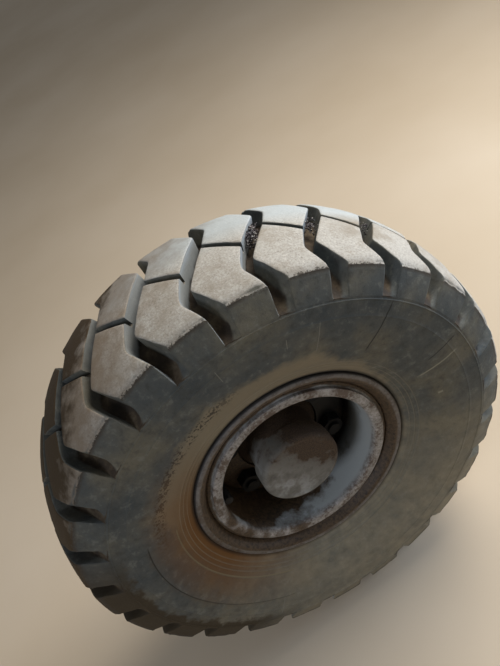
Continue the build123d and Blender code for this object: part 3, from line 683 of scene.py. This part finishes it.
# crests of the mould rings, edges of the panel with painted shade and painted highlight, brown painted
# shade on the lug flanks at the lower left, and painted shade in the gap at the rim
for ring_r, _, _ in side_rings[2:]:
    crest = add_node(tree, "Math", {0: near(tree, radius, ring_r * mm, 0.3 * mm, 0.5 * mm), 1: 0.28},
                     operation="MULTIPLY")
    layers.append((crest, "#948a74"))
by_panel = add_node(tree, "MapRange", {"Value": towards(tree, away, 200), "From Min": 0.76,
                                       "From Max": 0.78, "To Max": 0.8})
# painted shade along the panel's outer edge, painted highlight along its inner edge
for line_r, tint in ((panel_outer, "#1f170b"), (panel_inner, "#7f7154")):
    line = near(tree, radius, line_r * mm, 0.4 * mm, 0.7 * mm)
    layers.append((add_node(tree, "Math", {0: line, 1: by_panel}, operation="MULTIPLY"), tint))
# painted shade: brown over the lug flanks at the lower left
mud_and_shade = add_node(tree, "MapRange", {"Value": towards(tree, away, 200), "From Min": 0.72,
                                  "From Max": 0.9})
shade_reach = add_node(tree, "Math", {0: mottle, 1: 45 * mm, 2: radius}, operation="MULTIPLY_ADD")
shade_reach = add_node(tree, "MapRange", {"Value": shade_reach, "From Min": 254 * mm, "From Max": 262 * mm,
                                       "To Max": 0.92})
mud_and_shade = add_node(tree, "Math", {0: mud_and_shade, 1: shade_reach}, operation="MULTIPLY")
shade = add_node(tree, "MapRange", {"Value": radius, "From Min": 145.5 * mm, "From Max": 141 * mm,
                                    "To Max": 0.85})
layers += [(mud_and_shade, "#33260d"), (shade, "#17130f")]

# scratches and mould lines: degrees from +X, radius from and to, half width, wobble in mm, colour
for angle, low, high_r, half, wobble, tint in (
        (44.5, 177, 247, 1.3, 9, "#23221f"), (65, 185, 228, 0.5, 0, "#77756b"),
        (75, 205, 219, 0.6, 0, "#77756b"), (95, 212, 231, 0.5, 0, "#77756b"),
        (12, 175, 232, 1.6, 7, "#85816f"), (358, 187, 194, 2.4, 5, "#85816f"),
        (17, 196, 240, 1.2, 6, "#2a2824"), (236, 205, 240, 0.6, 0, "#77756b")):
    across_it = (-sin(radians(angle)), 0, cos(radians(angle)))
    off = add_node(tree, "VectorMath", {0: place, 1: across_it}, out="Value", operation="DOT_PRODUCT")
    off = add_node(tree, "Math", {0: cloud, 1: -wobble * mm, 2: off}, operation="MULTIPLY_ADD")
    on_line = near(tree, off, -wobble * mm / 2, half * mm / 3, half * mm * 2 / 3)
    half_length = (high_r - low) / 2 * mm
    along = near(tree, radius, (low + high_r) / 2 * mm, half_length * 0.8, half_length * 0.2)
    on_line = add_node(tree, "Math", {0: on_line, 1: along}, operation="MULTIPLY")
    here = add_node(tree, "MapRange", {"Value": towards(tree, away, angle), "From Min": 0.9,
                                       "From Max": 0.95})
    layers.append((add_node(tree, "Math", {0: on_line, 1: here}, operation="MULTIPLY"), tint))

# the worn line along the shoulder's corner, and the tread's layers over those of the sidewall
edge = add_node(tree, "Math", {0: aside, 1: (corner_y - 0.5) * mm}, operation="SUBTRACT")
edge = add_node(tree, "Math", {0: edge}, operation="ABSOLUTE")
edge = add_node(tree, "Math", {0: grit, 1: -12 * mm, 2: edge}, operation="MULTIPLY_ADD")
edge = add_node(tree, "Math", {0: mottle, 1: -6 * mm, 2: edge}, operation="MULTIPLY_ADD")
edge = add_node(tree, "MapRange", {"Value": edge, "From Min": -6.8 * mm, "From Max": -8.2 * mm})
edge = add_node(tree, "Math", {0: edge, 1: high}, operation="MULTIPLY")
layers += [(painted_light_walls, "#9aa0a3"), (in_groove, earth_and_shade), (top, dust), (edge, "#3d352b")]
colour = add_node(tree, "ValToRGB", {"Fac": cloud},
                  ramp=[(0.32, "#3a4041"), (0.46, "#4b4d49"), (0.6, "#5e5a4d"), (0.74, "#716a58")])
for mask, tint in layers:
    colour = add_node(tree, "Mix", {0: mask, 6: colour, 7: tint}, out=2, data_type="RGBA")
wire(tree, colour, height=add_node(tree, "Math", {0: grit, 1: edge}, operation="SUBTRACT"),
     depth=1.2 * mm, strength=0.4)
place_piece(tyre, "tyre_casing", rubber, ["tyre"], sharp_from=40)


# Stones. Dry, broken gravel, dull and rough, wedged in the bottoms of three cross grooves near the
# top of the wheel. A stone is 1 to 3 mm long, and pale and dark ones lie mixed.
# groove, y from and to, how many, largest half length in mm
clumps = [(-1, -6, 22, 420, 1.3), (-2, -2, 14, 120, 1.3), (-3, 2, 12, 60, 1.2)]
# y along the middle of a groove and its offset there in pitches, as in the tyre
run_y, run_p = [-42.5, -13.6, 13.6, 42.5], [0.38, 0.0, 0.0, -0.38]
half_groove, pile_height = 0.12, 21.0      # pitches and mm that a heap of stones fills
gravel = bmesh.new()
rng = np.random.default_rng(7)
for groove, low, high_y, count, largest in clumps:
    for _ in range(count):
        y = rng.uniform(low, high_y)
        p = np.interp(y, run_y, run_p) + rng.uniform(-half_groove, half_groove)
        angle = radians(first_groove + (groove + p) * 360 / pitches)
        r = floor_r + pile_height * rng.uniform(0.1, 1) ** 0.6
        size = rng.uniform(0.45, 1.0) * largest
        turn = Matrix.Rotation(rng.uniform(0, pi), 4, "X") @ Matrix.Rotation(rng.uniform(0, pi), 4, "Z")
        shape = Matrix.Diagonal((*(size * rng.uniform(0.5, 1.3, 3)), 1))
        at = Matrix.Translation((r * cos(angle), y, r * sin(angle)))
        bmesh.ops.create_icosphere(gravel, subdivisions=1, radius=1, matrix=at @ turn @ shape)
stone, tree = new_material("dry_gravel", roughness=0.9)
place = add_node(tree, "TexCoord", out="Object")
kind = add_node(tree, "TexNoise", {"Vector": place, "Scale": 1 / (3.33 * mm), "Detail": 2.0})
wire(tree, add_node(tree, "ValToRGB", {"Fac": kind},
                    ramp=[(0.4, "#2f2a2c"), (0.52, "#5d5558"), (0.64, "#c9c3bd")]), height=kind)
place_piece(gravel, "groove_gravel", stone, sharp_from=20)


# Floor, lights and camera: a plain pale floor under the tyre, soft light from above, behind and
# the right, a cool fill from the right and a smaller light from the upper left into the rim.
floor_width = 12.0      # metres, as all sizes in this section
bpy.ops.mesh.primitive_plane_add(size=floor_width, location=(0, 0, wheel_centre.z - tread_r * mm))
floor = bpy.context.object
floor.name = "floor"
floor_paint, tree = new_material("pale_floor", roughness=0.9)
place = add_node(tree, "TexCoord", out="Object")
tone = add_node(tree, "TexNoise", {"Vector": place, "Scale": 1 / 0.667, "Detail": 4.0})
wire(tree, add_node(tree, "ValToRGB", {"Fac": tone}, ramp=[(0.3, "#c6b49a"), (0.7, "#d2c2ab")]))
floor.data.materials.append(floor_paint)

world = bpy.data.worlds.new("studio")
world.use_nodes = True
sky = world.node_tree.nodes["Background"]
sky.inputs["Color"].default_value = linear("#eef2f8")
sky.inputs["Strength"].default_value = 0.2
bpy.context.scene.world = world
# name, place from the wheel's centre, size, watts, colour
lamps = [("key", (1.25, 0.35, 1.35), 1.0, 36.0, "#fff8ee"),
         ("fill", (1.5, -0.1, 0.35), 0.8, 14.0, "#d0e4ff"),
         ("window", (-1.3, -1.1, 0.9), 0.5, 9.0, "#e8f0ff")]
for name, offset, size, watts, tint in lamps:
    lamp = bpy.data.lights.new(name, "AREA")
    lamp.size, lamp.energy, lamp.color = size, watts, linear(tint)[:3]
    stand = bpy.data.objects.new(name, lamp)
    stand.location = wheel_centre + Vector(offset)
    stand.rotation_euler = (-Vector(offset)).to_track_quat("-Z", "Y").to_euler()
    bpy.context.scene.collection.objects.link(stand)

camera = bpy.data.cameras.new("camera")
camera.sensor_fit = "VERTICAL"
camera.sensor_height, camera.lens = 36.0, 37.27      # mm
viewpoint = bpy.data.objects.new("camera", camera)
viewpoint.location = wheel_centre + Vector((-0.0108, -0.5983, 0.6713))
viewpoint.rotation_euler = [radians(angle) for angle in (45.45, 23.63, -26.09)]
bpy.context.scene.collection.objects.link(viewpoint)
bpy.context.scene.camera = viewpoint
bpy.context.scene.view_settings.view_transform = "Standard"
